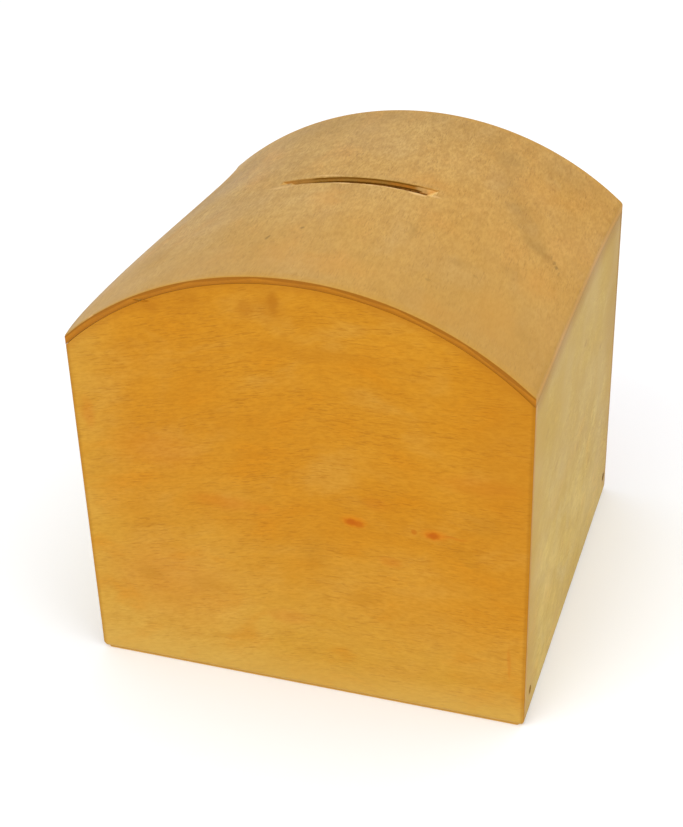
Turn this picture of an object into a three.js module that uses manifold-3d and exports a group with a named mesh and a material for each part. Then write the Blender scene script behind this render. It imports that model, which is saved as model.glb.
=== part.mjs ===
// A wooden money box: a cube-shaped box with an arched, bent-plywood top and a coin slot in its crown.
// Millimetres. The box stands on z = 0, centred on the Z axis, and its front faces -Y.

import * as THREE from "three";
import { mergeVertices } from "three/addons/utils/BufferGeometryUtils.js";
import Module from "manifold-3d";

const wasm = await Module();
wasm.setup();

// ---------------------------------------------------------------- driving dimensions

const boxWidth = 150;
const boxDepth = 149;
const eavesHeight = 122.9; // where the arched top meets the side faces
const archRise = 28.7; // crown above the eaves
const glueLine = 0.3; // gap left at every joint between two pieces
const trim = 5; // boards start this much too big and are trimmed to the outside of the box

const sheetThickness = 2.4; // the top is thin three-ply, so that it bends
const panelThickness = 2.8; // front and back
const sideThickness = 9; // solid side boards
const edgeRadius = 0.6; // sanded arrises
const baseEdgeRadius = 2.6; // the four edges that the box stands on are rounded more

const baseThickness = 9;
const baseRecess = 4.5; // the base sits this far up inside the walls
const stopperHoleRadius = 15;

// The slot is two overlapping passes of a saw blade, plunged through the crown and ramping out at
// both ends. Each pass is turned a little askew, by its turn in degrees.
const bladeRadius = 80;
const bladeKerf = 3.3;
const slotPasses = [
  { centreX: -2.1, centreY: 4.8, throughLength: 47, turn: 2.2 },
  { centreX: -0.4, centreY: 2.65, throughLength: 40.4, turn: 1.2 },
];

const pinHeight = 9; // above the surface the box stands on, level with the middle of the base
const pinInsetFront = 8.5;
const pinInsetBack = 6;
const pinLength = 24;
const pinShankRadius = 0.8;
const pinHeadRadius = 1.5;
const pinHeadThickness = 0.9;
const pinPointLength = 2.4;
const pinSetDepth = 0.3; // heads are punched this far below the side's face
const pinClearance = 0.3;

const flangeRadius = 18;
const flangeThickness = 2;
const neckRadius = stopperHoleRadius - glueLine;
const neckTipRadius = 14;
const neckWall = 2.2;
const neckReach = 1.8; // how far the neck stands above the base
const flangeChamfer = 0.5;

// Fineness of the faceted curves
const archSegments = 48;
const bladeSegments = 180;
const roundSegments = 48;
const pinSegments = 16;
const cornerSegments = 4;
const bevelSegments = 2;
const mergeTolerance = 1e-4; // corners closer than this are one corner

// ---------------------------------------------------------------- derived dimensions

const halfWidth = boxWidth / 2;
const halfDepth = boxDepth / 2;
const boxHeight = eavesHeight + archRise;
const outerRadius = (halfWidth ** 2 + archRise ** 2) / (2 * archRise);
const archCentreZ = boxHeight - outerRadius;
const innerRadius = outerRadius - sheetThickness;
const wallTopRadius = innerRadius - glueLine;

const panelInnerY = [-halfDepth + panelThickness, halfDepth - panelThickness];
const boardFrontY = panelInnerY[0] + glueLine;
const boardBackY = panelInnerY[1] - glueLine;
const sideInnerX = halfWidth - sideThickness;
const baseHalfWidth = sideInnerX - glueLine;
const baseTopZ = baseRecess + baseThickness;

// ---------------------------------------------------------------- materials

function wood(name, color, roughness) {
  return new THREE.MeshStandardMaterial({ name, color, roughness, metalness: 0 });
}

const frontPly = wood("front_ply", 0xcd8b2b, 0.42);
const topPly = wood("top_ply", 0xcda15c, 0.5);
const sideWood = wood("side_wood", 0xcbae6c, 0.55);
const baseWood = wood("base_wood", 0xc9a468, 0.6);
const pinSteel = new THREE.MeshStandardMaterial({
  name: "pin_steel",
  color: 0x6b5a48,
  roughness: 0.5,
  metalness: 0.9,
});
const stopperRubber = new THREE.MeshStandardMaterial({
  name: "stopper_rubber",
  color: 0x2a2826,
  roughness: 0.75,
  metalness: 0,
});

// ---------------------------------------------------------------- solids

/** Turns a closed three.js geometry into a solid that can be cut and joined. */
function solidOf(geometry) {
  const bare = geometry.index ? geometry.toNonIndexed() : geometry.clone();
  bare.deleteAttribute("normal");
  bare.deleteAttribute("uv");
  const merged = mergeVertices(bare, mergeTolerance);
  const mesh = new wasm.Mesh({
    numProp: 3,
    vertProperties: new Float32Array(merged.attributes.position.array),
    triVerts: new Uint32Array(merged.index.array),
  });
  return new wasm.Manifold(mesh);
}

/** Turns a solid back into a three.js geometry. */
function geometryOf(solid) {
  const mesh = solid.getMesh();
  const geometry = new THREE.BufferGeometry();
  geometry.setAttribute("position", new THREE.BufferAttribute(mesh.vertProperties, 3));
  geometry.setIndex(new THREE.BufferAttribute(mesh.triVerts, 1));
  geometry.computeVertexNormals();
  return geometry;
}

/** A block between two corners. */
function block(low, high) {
  const size = new THREE.Vector3().subVectors(high, low);
  const centre = new THREE.Vector3().addVectors(low, high).multiplyScalar(1 / 2);
  const geometry = new THREE.BoxGeometry(size.x, size.y, size.z);
  geometry.translate(centre.x, centre.y, centre.z);
  return solidOf(geometry);
}

/** Extrudes an outline drawn in the XZ plane along Y, with its end edges rounded by `bevel`. */
function extrudeAlongY(outline, lowY, highY, bevel = 0) {
  const geometry = new THREE.ExtrudeGeometry(outline, {
    depth: highY - lowY - 2 * bevel,
    bevelEnabled: bevel > 0,
    bevelThickness: bevel,
    bevelSize: bevel,
    bevelOffset: -bevel,
    bevelSegments,
  });
  geometry.rotateX(Math.PI / 2);
  geometry.translate(0, highY - bevel, 0);
  return solidOf(geometry);
}

/** Extrudes an outline drawn in the YZ plane along X, between -reach and +reach. */
function extrudeAlongX(outline, reach) {
  const geometry = new THREE.ExtrudeGeometry(outline, { depth: 2 * reach, bevelEnabled: false });
  const turn = new THREE.Matrix4().makeBasis(
    new THREE.Vector3(0, 1, 0),
    new THREE.Vector3(0, 0, 1),
    new THREE.Vector3(1, 0, 0),
  );
  geometry.applyMatrix4(turn);
  geometry.translate(-reach, 0, 0);
  return solidOf(geometry);
}

/** Angle from the crown, about the arch's axis, at which an arc of this radius reaches x. */
function archAngle(radius, x) {
  return Math.asin(x / radius);
}

/** Continues an outline along an arc, in straight steps, from one angle to another. */
function addArc(outline, centreX, centreY, radius, fromAngle, toAngle, segments) {
  for (let step = 0; step <= segments; step += 1) {
    const angle = fromAngle + ((toAngle - fromAngle) * step) / segments;
    const x = centreX + radius * Math.cos(angle);
    const y = centreY + radius * Math.sin(angle);
    if (outline.curves.length === 0 && step === 0) {
      outline.moveTo(x, y);
    } else {
      outline.lineTo(x, y);
    }
  }
}

/** Continues an outline over the arch, at this radius, from one x to another. */
function addArch(outline, radius, fromX, toX) {
  const fromAngle = Math.PI / 2 - archAngle(radius, fromX);
  const toAngle = Math.PI / 2 - archAngle(radius, toX);
  const share = Math.abs(toX - fromX) / boxWidth;
  addArc(outline, 0, archCentreZ, radius, fromAngle, toAngle, Math.ceil(archSegments * share));
}

/** An upright board's outline: straight foot and sides, and a top that follows the arch. */
function archedOutline(lowX, highX, radius) {
  const outline = new THREE.Shape();
  outline.moveTo(lowX, -trim);
  outline.lineTo(highX, -trim);
  addArch(outline, radius, highX, lowX);
  outline.closePath();
  return outline;
}

/** The bent sheet's outline before it is trimmed: an arched strip. */
function sheetOutline() {
  const reach = halfWidth + trim;
  const outline = new THREE.Shape();
  addArch(outline, outerRadius + trim, reach, -reach);
  addArch(outline, innerRadius, -reach, reach);
  outline.closePath();
  return outline;
}

/** Draws the foot of an outline: a straight bottom edge with rounded corners. */
function roundedFoot(outline, halfSpan, radius) {
  outline.moveTo(-halfSpan, radius);
  addArc(outline, -halfSpan + radius, radius, radius, Math.PI, 1.5 * Math.PI, cornerSegments);
  addArc(outline, halfSpan - radius, radius, radius, 1.5 * Math.PI, 2 * Math.PI, cornerSegments);
}

/** The finished outside of the box: what is left after all its edges are sanded. */
function sandedEnvelope() {
  const frontView = new THREE.Shape();
  roundedFoot(frontView, halfWidth, baseEdgeRadius);
  addArch(frontView, outerRadius, halfWidth, -halfWidth);
  frontView.closePath();
  const sideView = new THREE.Shape();
  const clearTop = 2 * boxHeight;
  roundedFoot(sideView, halfDepth, baseEdgeRadius);
  sideView.lineTo(halfDepth, clearTop);
  sideView.lineTo(-halfDepth, clearTop);
  sideView.closePath();
  const frontSolid = extrudeAlongY(frontView, -halfDepth, halfDepth, edgeRadius);
  const sideSolid = extrudeAlongX(sideView, boxWidth);
  return frontSolid.intersect(sideSolid);
}

/** Spins a closed profile of [radius, height] points about Z. */
function spun(points, segments) {
  const profile = points.map(([radius, height]) => new THREE.Vector2(radius, height));
  profile.push(profile[0].clone());
  const geometry = new THREE.LatheGeometry(profile, segments);
  geometry.rotateX(Math.PI / 2);
  return geometry;
}

// ---------------------------------------------------------------- boards

const envelope = sandedEnvelope();

/** Front or back: a full-width ply panel under the ends of the bent sheet. */
function endPanel(lowY, highY) {
  const outline = archedOutline(-halfWidth - trim, halfWidth + trim, wallTopRadius);
  return extrudeAlongY(outline, lowY, highY).intersect(envelope);
}

/** One pin hole, bored from the outside of a side board (side is +1 right, -1 left). */
function pinBore(side, y) {
  const boreRadius = pinShankRadius + pinClearance;
  const bore = new THREE.CylinderGeometry(boreRadius, boreRadius, 2 * pinLength, pinSegments);
  bore.rotateZ(Math.PI / 2);
  bore.translate(side * (halfWidth - pinSetDepth - pinClearance), y, pinHeight);
  const seatRadius = pinHeadRadius + pinClearance;
  const seatDepth = pinSetDepth + pinHeadThickness + pinClearance;
  const seat = new THREE.CylinderGeometry(seatRadius, seatRadius, 2 * seatDepth, pinSegments);
  seat.rotateZ(Math.PI / 2);
  seat.translate(side * halfWidth, y, pinHeight);
  return solidOf(bore).add(solidOf(seat));
}

const pinRows = [-halfDepth + pinInsetFront, halfDepth - pinInsetBack];

/** A side board between the end panels, its top planed to the underside of the bent sheet. */
function sideBoard(side) {
  const edges = [side * sideInnerX, side * (halfWidth + trim)].sort((a, b) => a - b);
  const outline = archedOutline(edges[0], edges[1], wallTopRadius);
  let board = extrudeAlongY(outline, boardFrontY, boardBackY).intersect(envelope);
  for (const y of pinRows) {
    board = board.subtract(pinBore(side, y));
  }
  return board;
}

/** The base, held between the walls, with the hole that the stopper plugs. */
function baseBoard() {
  const low = new THREE.Vector3(-baseHalfWidth, boardFrontY, baseRecess);
  const high = new THREE.Vector3(baseHalfWidth, boardBackY, baseTopZ);
  let board = block(low, high);
  const holeLength = 2 * baseTopZ;
  const hole = new THREE.CylinderGeometry(
    stopperHoleRadius,
    stopperHoleRadius,
    holeLength,
    roundSegments,
  );
  hole.rotateX(Math.PI / 2);
  hole.translate(0, 0, baseRecess);
  board = board.subtract(solidOf(hole));
  for (const side of [-1, 1]) {
    for (const y of pinRows) {
      board = board.subtract(pinBore(side, y));
    }
  }
  return board;
}

/** What one pass of the saw blade takes away: a disc plunged square to the arch. */
function bladePass({ centreX, centreY, throughLength, turn }) {
  const halfThrough = throughLength / 2;
  const toUnderside = Math.sqrt(innerRadius ** 2 - halfThrough ** 2);
  const toBladeCentre = toUnderside + Math.sqrt(bladeRadius ** 2 - halfThrough ** 2);
  const lean = archAngle(outerRadius, centreX);
  const blade = new THREE.CylinderGeometry(bladeRadius, bladeRadius, bladeKerf, bladeSegments);
  blade.rotateZ(THREE.MathUtils.degToRad(turn));
  blade.translate(
    toBladeCentre * Math.sin(lean),
    centreY,
    archCentreZ + toBladeCentre * Math.cos(lean),
  );
  return solidOf(blade);
}

/** The bent top sheet, with the sawn slot in its crown. */
function curvedTop() {
  const sheet = extrudeAlongY(sheetOutline(), -halfDepth - trim, halfDepth + trim).intersect(envelope);
  return slotPasses.reduce((top, pass) => top.subtract(bladePass(pass)), sheet);
}

// ---------------------------------------------------------------- small pieces

/** A nail with a flat round head, head up and point down, its head's face at z = 0. */
function pinGeometry() {
  return spun(
    [
      [0, 0],
      [0, -pinLength],
      [pinShankRadius, -pinLength + pinPointLength],
      [pinShankRadius, -pinHeadThickness],
      [pinHeadRadius, -pinHeadThickness],
      [pinHeadRadius, 0],
    ],
    pinSegments,
  );
}

/** The push-in stopper: a flat flange under the base and a hollow, tapered neck in its hole. */
function stopperGeometry() {
  const neckTop = flangeThickness + glueLine + baseThickness + neckReach;
  const hollowFloor = 2 * flangeThickness;
  const hollowRadius = neckTipRadius - neckWall;
  return spun(
    [
      [0, 0],
      [flangeRadius - flangeChamfer, 0],
      [flangeRadius, flangeChamfer],
      [flangeRadius, flangeThickness],
      [neckRadius, flangeThickness],
      [neckTipRadius, neckTop],
      [hollowRadius, neckTop],
      [hollowRadius, hollowFloor],
      [0, hollowFloor],
    ],
    roundSegments,
  );
}

// ---------------------------------------------------------------- assembly

function piece(name, geometry, material) {
  const mesh = new THREE.Mesh(geometry, material);
  mesh.name = name;
  return mesh;
}

const moneyBox = new THREE.Group();
moneyBox.name = "money_box";

const boards = new THREE.Group();
boards.add(piece("front_panel", geometryOf(endPanel(-halfDepth - trim, panelInnerY[0])), frontPly));
boards.add(piece("back_panel", geometryOf(endPanel(panelInnerY[1], halfDepth + trim)), frontPly));
boards.add(piece("left_side_board", geometryOf(sideBoard(-1)), sideWood));
boards.add(piece("right_side_board", geometryOf(sideBoard(1)), sideWood));
boards.add(piece("base_board", geometryOf(baseBoard()), baseWood));
boards.add(piece("curved_top", geometryOf(curvedTop()), topPly));
moneyBox.add(boards);

const pins = new THREE.Group();
pins.position.z = pinHeight;
const pinShape = pinGeometry();
for (const [sideName, side] of [["left", -1], ["right", 1]]) {
  for (const [rowName, y] of [["front", pinRows[0]], ["back", pinRows[1]]]) {
    const pin = piece(`${sideName}_${rowName}_base_pin`, pinShape, pinSteel);
    pin.position.set(side * (halfWidth - pinSetDepth), y, 0);
    pin.rotation.y = (side * Math.PI) / 2;
    pins.add(pin);
  }
}
moneyBox.add(pins);

const stopper = piece("rubber_stopper", stopperGeometry(), stopperRubber);
stopper.position.z = baseRecess - glueLine - flangeThickness;
moneyBox.add(stopper);

export default moneyBox;
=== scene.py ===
"""A wooden money box: every board, pin and the stopper as fine meshes with procedural wood, steel and rubber."""
import math
import random

import bmesh
import bpy
from mathutils import Matrix, Vector, noise


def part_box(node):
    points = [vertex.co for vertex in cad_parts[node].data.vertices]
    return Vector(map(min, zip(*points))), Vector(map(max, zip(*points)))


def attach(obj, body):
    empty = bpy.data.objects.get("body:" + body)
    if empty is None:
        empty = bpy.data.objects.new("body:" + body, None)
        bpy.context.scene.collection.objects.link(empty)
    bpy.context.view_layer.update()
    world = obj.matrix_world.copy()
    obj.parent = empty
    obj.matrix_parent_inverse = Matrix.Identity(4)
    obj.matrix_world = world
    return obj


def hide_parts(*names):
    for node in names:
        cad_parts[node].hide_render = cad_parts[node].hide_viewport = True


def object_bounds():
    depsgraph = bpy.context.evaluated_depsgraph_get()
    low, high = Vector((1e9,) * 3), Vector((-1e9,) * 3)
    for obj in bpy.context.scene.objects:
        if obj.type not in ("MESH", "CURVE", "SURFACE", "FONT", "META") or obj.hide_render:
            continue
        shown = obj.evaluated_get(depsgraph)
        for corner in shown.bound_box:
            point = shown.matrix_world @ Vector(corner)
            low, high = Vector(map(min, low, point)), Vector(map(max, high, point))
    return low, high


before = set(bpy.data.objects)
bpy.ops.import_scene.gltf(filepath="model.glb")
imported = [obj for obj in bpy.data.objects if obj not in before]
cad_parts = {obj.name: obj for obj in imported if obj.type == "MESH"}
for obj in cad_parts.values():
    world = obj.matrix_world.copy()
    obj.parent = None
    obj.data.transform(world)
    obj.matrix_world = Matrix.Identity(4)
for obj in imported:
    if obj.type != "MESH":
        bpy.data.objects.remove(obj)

cad_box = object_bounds()

# ------------------------------------------------------------------ sizes, in metres

MM = 0.001
HALF_WIDTH, HALF_DEPTH, CROWN = cad_box[1]
EAVES = 122.9 * MM
RISE = CROWN - EAVES
ARCH_RADIUS = (HALF_WIDTH**2 + RISE**2) / (2 * RISE)
ARCH_CENTRE = CROWN - ARCH_RADIUS

SHEET = 2.4 * MM  # thickness of the bent top
PANEL_INNER = abs(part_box("front_panel")[1].y)  # inner faces of the front and back panels
SIDE_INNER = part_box("right_side_board")[0].x
BASE_LOW, BASE_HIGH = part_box("base_board")
STOPPER_LOW, STOPPER_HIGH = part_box("rubber_stopper")

FOOT_ROUND = 2.6 * MM  # the back edge that the box stands on
SIDE_FOOT_ROUND = 2.2 * MM
FRONT_FOOT_ROUND = 0.8 * MM
ARRIS_ROUND = 0.6 * MM  # the other outer edges
BACK_ARRIS_ROUND = 2.2 * MM  # the upright corners at the back, which are more worn
WIDEST_ROUND = FOOT_ROUND
JOINT_ROUND = 0.12 * MM  # edges along a glued joint
JOINT_GAP = 0.05 * MM
ON_PLANE = 1e-6  # how close a corner lies to a plane to count as on it

BLADE_RADIUS = 80 * MM  # the slot is two overlapping passes of a saw blade
BLADE_KERF = 3.3 * MM
BLADE_REACH = 34 * MM  # how far a pass is modelled to each side of its middle
# Each pass: its middle in x and y, its length through the sheet, and its turn in degrees
FAR_PASS = (-2.85 * MM, 4.78 * MM, 45.5 * MM, 2.2)
NEAR_PASS = (-0.9 * MM, 2.64 * MM, 39.4 * MM, 1.2)
SLOT_LIP = 0.22 * MM  # depth of the frayed edge round the slot
SLOT_STEPS = 200  # how finely each pass is modelled along its length
SLOT_FIBRES = 100  # torn fibres under the slot's far wall

PIN_SHANK = 0.8 * MM
PIN_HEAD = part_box("right_front_base_pin")
PIN_HEAD_RADIUS = (PIN_HEAD[1].y - PIN_HEAD[0].y) / 2
PIN_HEAD_THICK = 0.9 * MM
PIN_POINT = 2.4 * MM
PIN_CLEARANCE = 0.05 * MM
HOLE_RADIUS = 15 * MM

BOW_RIGHT = 1.0 * MM  # how far the right side has warped to the left at its middle

ARCH_STEPS = 120  # how finely the arch, the boards' lengths and round pieces are divided
LENGTH_STEPS = 36
ROUND_STEPS = 96
ROOMY_POINTS = 4  # points left out next to an arc's ends, where a corner is rounded

# ------------------------------------------------------------------ mesh helpers


def arch(radius, from_x, to_x, steps):
    """Points of an arc over the box, about the arch's axis, from one x to another."""
    first, last = math.asin(from_x / radius), math.asin(to_x / radius)
    angles = [first + (last - first) * i / steps for i in range(steps + 1)]
    return [(radius * math.sin(a), ARCH_CENTRE + radius * math.cos(a)) for a in angles]


def roomy_ends(points):
    """An arc without the points next to its ends, so that a corner there can be rounded."""
    return points[:1] + points[ROOMY_POINTS:-ROOMY_POINTS] + points[-1:]


def spread(low, high, steps):
    """Evenly spaced values from low to high."""
    return [low + (high - low) * i / steps for i in range(steps + 1)]


def new_object(name, bm):
    """Finishes a bmesh as an object in the scene."""
    bmesh.ops.recalc_face_normals(bm, faces=bm.faces)
    mesh = bpy.data.meshes.new(name)
    bm.to_mesh(mesh)
    bm.free()
    obj = bpy.data.objects.new(name, mesh)
    bpy.context.scene.collection.objects.link(obj)
    return obj


def join_rings(bm, near, far):
    """Makes the faces between two rings of corners."""
    for i, corner in enumerate(near):
        j = (i + 1) % len(near)
        bm.faces.new((corner, near[j], far[j], far[i]))


def prism(name, outline, stations, corner_round=None):
    """An outline of (x, z) points carried along Y through the stations. corner_round gives each edge's radius."""
    bm = bmesh.new()
    rings = [[bm.verts.new((x, y, z)) for x, z in outline] for y in stations]
    for near, far in zip(rings, rings[1:]):
        join_rings(bm, near, far)
    bm.faces.new(rings[0])
    bm.faces.new(rings[-1])
    if corner_round:
        weight = bm.edges.layers.float.new("bevel_weight_edge")
        for edge in bm.edges:
            edge[weight] = corner_round(edge.verts[0].co, edge.verts[1].co) / WIDEST_ROUND
    return new_object(name, bm)


def lathe(name, profile, segments, turn=None):
    """A closed solid from (radius, height) points spun about Z. Its first and last radius are 0."""
    bm = bmesh.new()
    rings = []
    for radius, height in profile:
        if radius == 0:
            rings.append([bm.verts.new((0, 0, height))])
            continue
        angles = [2 * math.pi * i / segments for i in range(segments)]
        rings.append([bm.verts.new((radius * math.cos(a), radius * math.sin(a), height)) for a in angles])
    for lower, upper in zip(rings, rings[1:]):
        for i in range(segments):
            j = (i + 1) % segments
            corners = [lower[i % len(lower)], lower[j % len(lower)], upper[j % len(upper)], upper[i % len(upper)]]
            bm.faces.new(list(dict.fromkeys(corners)))
    if turn:
        bm.transform(turn)
    return new_object(name, bm)


def settle(obj):
    """Applies the object's modifiers, so that its mesh is final."""
    graph = bpy.context.evaluated_depsgraph_get()
    mesh = bpy.data.meshes.new_from_object(obj.evaluated_get(graph))
    obj.modifiers.clear()
    obj.data = mesh


def round_edges(obj):
    """Rounds each edge by the radius stored as its bevel weight."""
    bevel = obj.modifiers.new("rounding", "BEVEL")
    bevel.limit_method = "WEIGHT"
    bevel.width = WIDEST_ROUND
    bevel.segments = 6
    bevel.use_clamp_overlap = False
    settle(obj)


def cut(obj, *cutters):
    """Takes the cutters out of the object and deletes them."""
    for cutter in cutters:
        boolean = obj.modifiers.new("cut", "BOOLEAN")
        boolean.operation = "DIFFERENCE"
        boolean.solver = "EXACT"
        boolean.object = cutter
    settle(obj)
    for cutter in cutters:
        if cutter.name in bpy.data.objects:
            bpy.data.objects.remove(cutter)


def smooth(obj, sharp_angle=35):
    """Smooth shading that stays crisp at edges sharper than this many degrees."""
    obj.data.shade_smooth()
    obj.data.set_sharp_from_angle(angle=math.radians(sharp_angle))
    weighted = obj.modifiers.new("even_shading", "WEIGHTED_NORMAL")
    weighted.keep_sharp = True
    weighted.mode = "FACE_AREA"


def place(obj, node, body, slot, material):
    """Gives a finished piece its material and body, and hides the CAD node that it stands for."""
    obj.data.materials.clear()
    obj.data.materials.append(material)
    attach(obj, body)
    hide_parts(node)


def bow_at(side, y):
    """How far the top of a side has warped towards the left at this y."""
    u = max(-1, min(1, y / HALF_DEPTH))
    if side > 0:
        return BOW_RIGHT * (1 - u**2) * (1 + 0.4 * u)
    return (-1.1 * u * (1 - u**8) + (1 - u**2) * (1.5 - 1.6 * u)) * MM


def bow(obj):
    """Warps a board's upper part sideways, most at the eaves, as thin boards warp."""
    for vertex in obj.data.vertices:
        x, y, z = vertex.co
        vertex.co.x -= bow_at(x, y) * (x / HALF_WIDTH) ** 2 * (z / EAVES) ** 2


def lies_on(value, plane):
    """Whether a corner's coordinate is the plane's."""
    return abs(value - plane) < ON_PLANE


def outer_rounding(a, b):
    """Radius of an outer edge of the box between two corners, or 0 for an edge that stays sharp."""
    at_side = lies_on(abs(a.x), HALF_WIDTH) and lies_on(abs(b.x), HALF_WIDTH)
    at_end = lies_on(abs(a.y), HALF_DEPTH) and lies_on(abs(b.y), HALF_DEPTH)
    if lies_on(a.z, 0) and lies_on(b.z, 0) and (at_side or at_end):
        if at_side:
            return SIDE_FOOT_ROUND
        return FOOT_ROUND if a.y > 0 else FRONT_FOOT_ROUND
    radii = [math.hypot(p.x, p.z - ARCH_CENTRE) for p in (a, b)]
    on_top = all(lies_on(radius, ARCH_RADIUS) for radius in radii)
    if at_side and at_end:
        return BACK_ARRIS_ROUND if a.y > 0 else ARRIS_ROUND
    if on_top and (at_side or at_end):
        return ARRIS_ROUND
    under_top = all(radius > ARCH_RADIUS - 2 * SHEET for radius in radii)
    if under_top and at_end and not on_top:
        return JOINT_ROUND
    return 0


# ------------------------------------------------------------------ shader helpers


class Surface:
    """One procedural material, with short calls for the nodes that it is made of."""

    def __init__(self, name):
        self.material = bpy.data.materials.new(name)
        self.material.use_nodes = True
        self.tree = self.material.node_tree
        self.tree.nodes.clear()
        self.shader = self.tree.nodes.new("ShaderNodeBsdfPrincipled")
        output = self.tree.nodes.new("ShaderNodeOutputMaterial")
        self.tree.links.new(self.shader.outputs["BSDF"], output.inputs["Surface"])
        self.place = self.tree.nodes.new("ShaderNodeTexCoord").outputs["Object"]
        split = self.tree.nodes.new("ShaderNodeSeparateXYZ")
        self.tree.links.new(self.place, split.inputs[0])
        self.x, self.y, self.z = split.outputs

    def feed(self, socket, value):
        """Links a node's output to a socket, or sets a plain value on it."""
        if isinstance(value, bpy.types.NodeSocket):
            self.tree.links.new(value, socket)
        elif hasattr(socket.default_value, "__len__") and len(socket.default_value) == 4:
            socket.default_value = (*value, 1)
        else:
            socket.default_value = value

    def math(self, operation, a, b=0.0):
        node = self.tree.nodes.new("ShaderNodeMath")
        node.operation = operation
        self.feed(node.inputs[0], a)
        self.feed(node.inputs[1], b)
        return node.outputs[0]

    def vector(self, operation, a, b=None, output=0):
        node = self.tree.nodes.new("ShaderNodeVectorMath")
        node.operation = operation
        self.feed(node.inputs[0], a)
        if b is not None:
            self.feed(node.inputs[1], b)
        return node.outputs[output]

    def turned(self, axis, degrees):
        """Object coordinates turned about an axis, for grain that runs a little askew."""
        node = self.tree.nodes.new("ShaderNodeVectorRotate")
        node.rotation_type = "AXIS_ANGLE"
        self.feed(node.inputs["Vector"], self.place)
        node.inputs["Axis"].default_value = axis
        node.inputs["Angle"].default_value = math.radians(degrees)
        return node.outputs[0]

    def ease(self, value, low, high, from_value=0.0, to_value=1.0):
        """A smooth step from one value to another as the input goes from low to high."""
        node = self.tree.nodes.new("ShaderNodeMapRange")
        node.interpolation_type = "SMOOTHSTEP"
        for socket, given in zip(node.inputs, (value, low, high, from_value, to_value)):
            self.feed(socket, given)
        return node.outputs[0]

    def noise(self, size, detail=2.0, roughness=0.5, seed=0.0, distortion=0.0, place=None):
        """Noise whose features measure about size = (x, y, z) metres."""
        scaled = self.vector("MULTIPLY", place or self.place, tuple(1 / s for s in size))
        shifted = self.vector("ADD", scaled, (seed, seed * 1.7, seed * 0.6))
        node = self.tree.nodes.new("ShaderNodeTexNoise")
        self.feed(node.inputs["Vector"], shifted)
        node.inputs["Scale"].default_value = 1
        node.inputs["Detail"].default_value = detail
        node.inputs["Roughness"].default_value = roughness
        node.inputs["Distortion"].default_value = distortion
        return node.outputs[0]

    def mix(self, share, a, b):
        node = self.tree.nodes.new("ShaderNodeMix")
        node.data_type = "RGBA"
        self.feed(node.inputs[0], share)
        self.feed(node.inputs[6], a)
        self.feed(node.inputs[7], b)
        return node.outputs[2]

    def tint(self, colour, mask, share, tone):
        """Mixes a tone into a colour where a mask is 1, by a share."""
        return self.mix(self.math("MULTIPLY", mask, share), colour, tone)

    def ramp(self, value, *stops):
        """A colour ramp through (position, colour) stops."""
        node = self.tree.nodes.new("ShaderNodeValToRGB")
        elements = node.color_ramp.elements
        while len(elements) < len(stops):
            elements.new(1)
        for element, (position, colour) in zip(elements, stops):
            element.position = position
            element.color = (*colour, 1)
        self.feed(node.inputs[0], value)
        return node.outputs[0]

    def attribute(self, name):
        node = self.tree.nodes.new("ShaderNodeAttribute")
        node.attribute_name = name
        return node.outputs["Fac"]

    def spot(self, centre, radii, soft=0.5, wobble=None):
        """A mask that is 1 inside an ellipsoid and fades to 0 at its edge."""
        place = self.place
        if wobble:
            place = self.vector("ADD", place, wobble)
        offset = self.vector("SUBTRACT", place, centre)
        scaled = self.vector("MULTIPLY", offset, tuple(1 / r for r in radii))
        length = self.vector("LENGTH", scaled, output=1)
        return self.ease(length, 1 - soft, 1 + soft, 1.0, 0.0)

    def wobble(self, size, reach, seed=0.0):
        """A small vector noise that makes a spot's outline uneven."""
        scaled = self.vector("MULTIPLY", self.place, (1 / size,) * 3)
        node = self.tree.nodes.new("ShaderNodeTexNoise")
        self.feed(node.inputs["Vector"], self.vector("ADD", scaled, (seed,) * 3))
        node.inputs["Scale"].default_value = 1
        node.inputs["Detail"].default_value = 2
        centred = self.vector("SUBTRACT", node.outputs[1], (0.5,) * 3)
        return self.vector("MULTIPLY", centred, (2 * reach,) * 3)

    def bump(self, height, distance, strength=1.0):
        node = self.tree.nodes.new("ShaderNodeBump")
        node.inputs["Strength"].default_value = strength
        node.inputs["Distance"].default_value = distance
        self.feed(node.inputs["Height"], height)
        self.feed(self.shader.inputs["Normal"], node.outputs[0])

    def finish(self, colour, roughness, specular, glint=(1, 1, 1)):
        """Sets the surface's colour, roughness, specular level and the tint of its reflections."""
        self.feed(self.shader.inputs["Base Color"], colour)
        self.feed(self.shader.inputs["Roughness"], roughness)
        self.shader.inputs["Specular IOR Level"].default_value = specular
        self.shader.inputs["Specular Tint"].default_value = (*glint, 1)
        return self.material


def srgb(red, green, blue):
    """A colour given as 0 to 255 sRGB values, as the linear values that shaders use."""
    def linear(value):
        share = value / 255
        return share / 12.92 if share <= 0.04045 else ((share + 0.055) / 1.055) ** 2.4
    return linear(red), linear(green), linear(blue)


def along(axis, length, width):
    """Feature size for grain that runs along one axis: 0 for X, 1 for Y, 2 for Z."""
    size = [width] * 3
    size[axis] = length
    return tuple(size)


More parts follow.
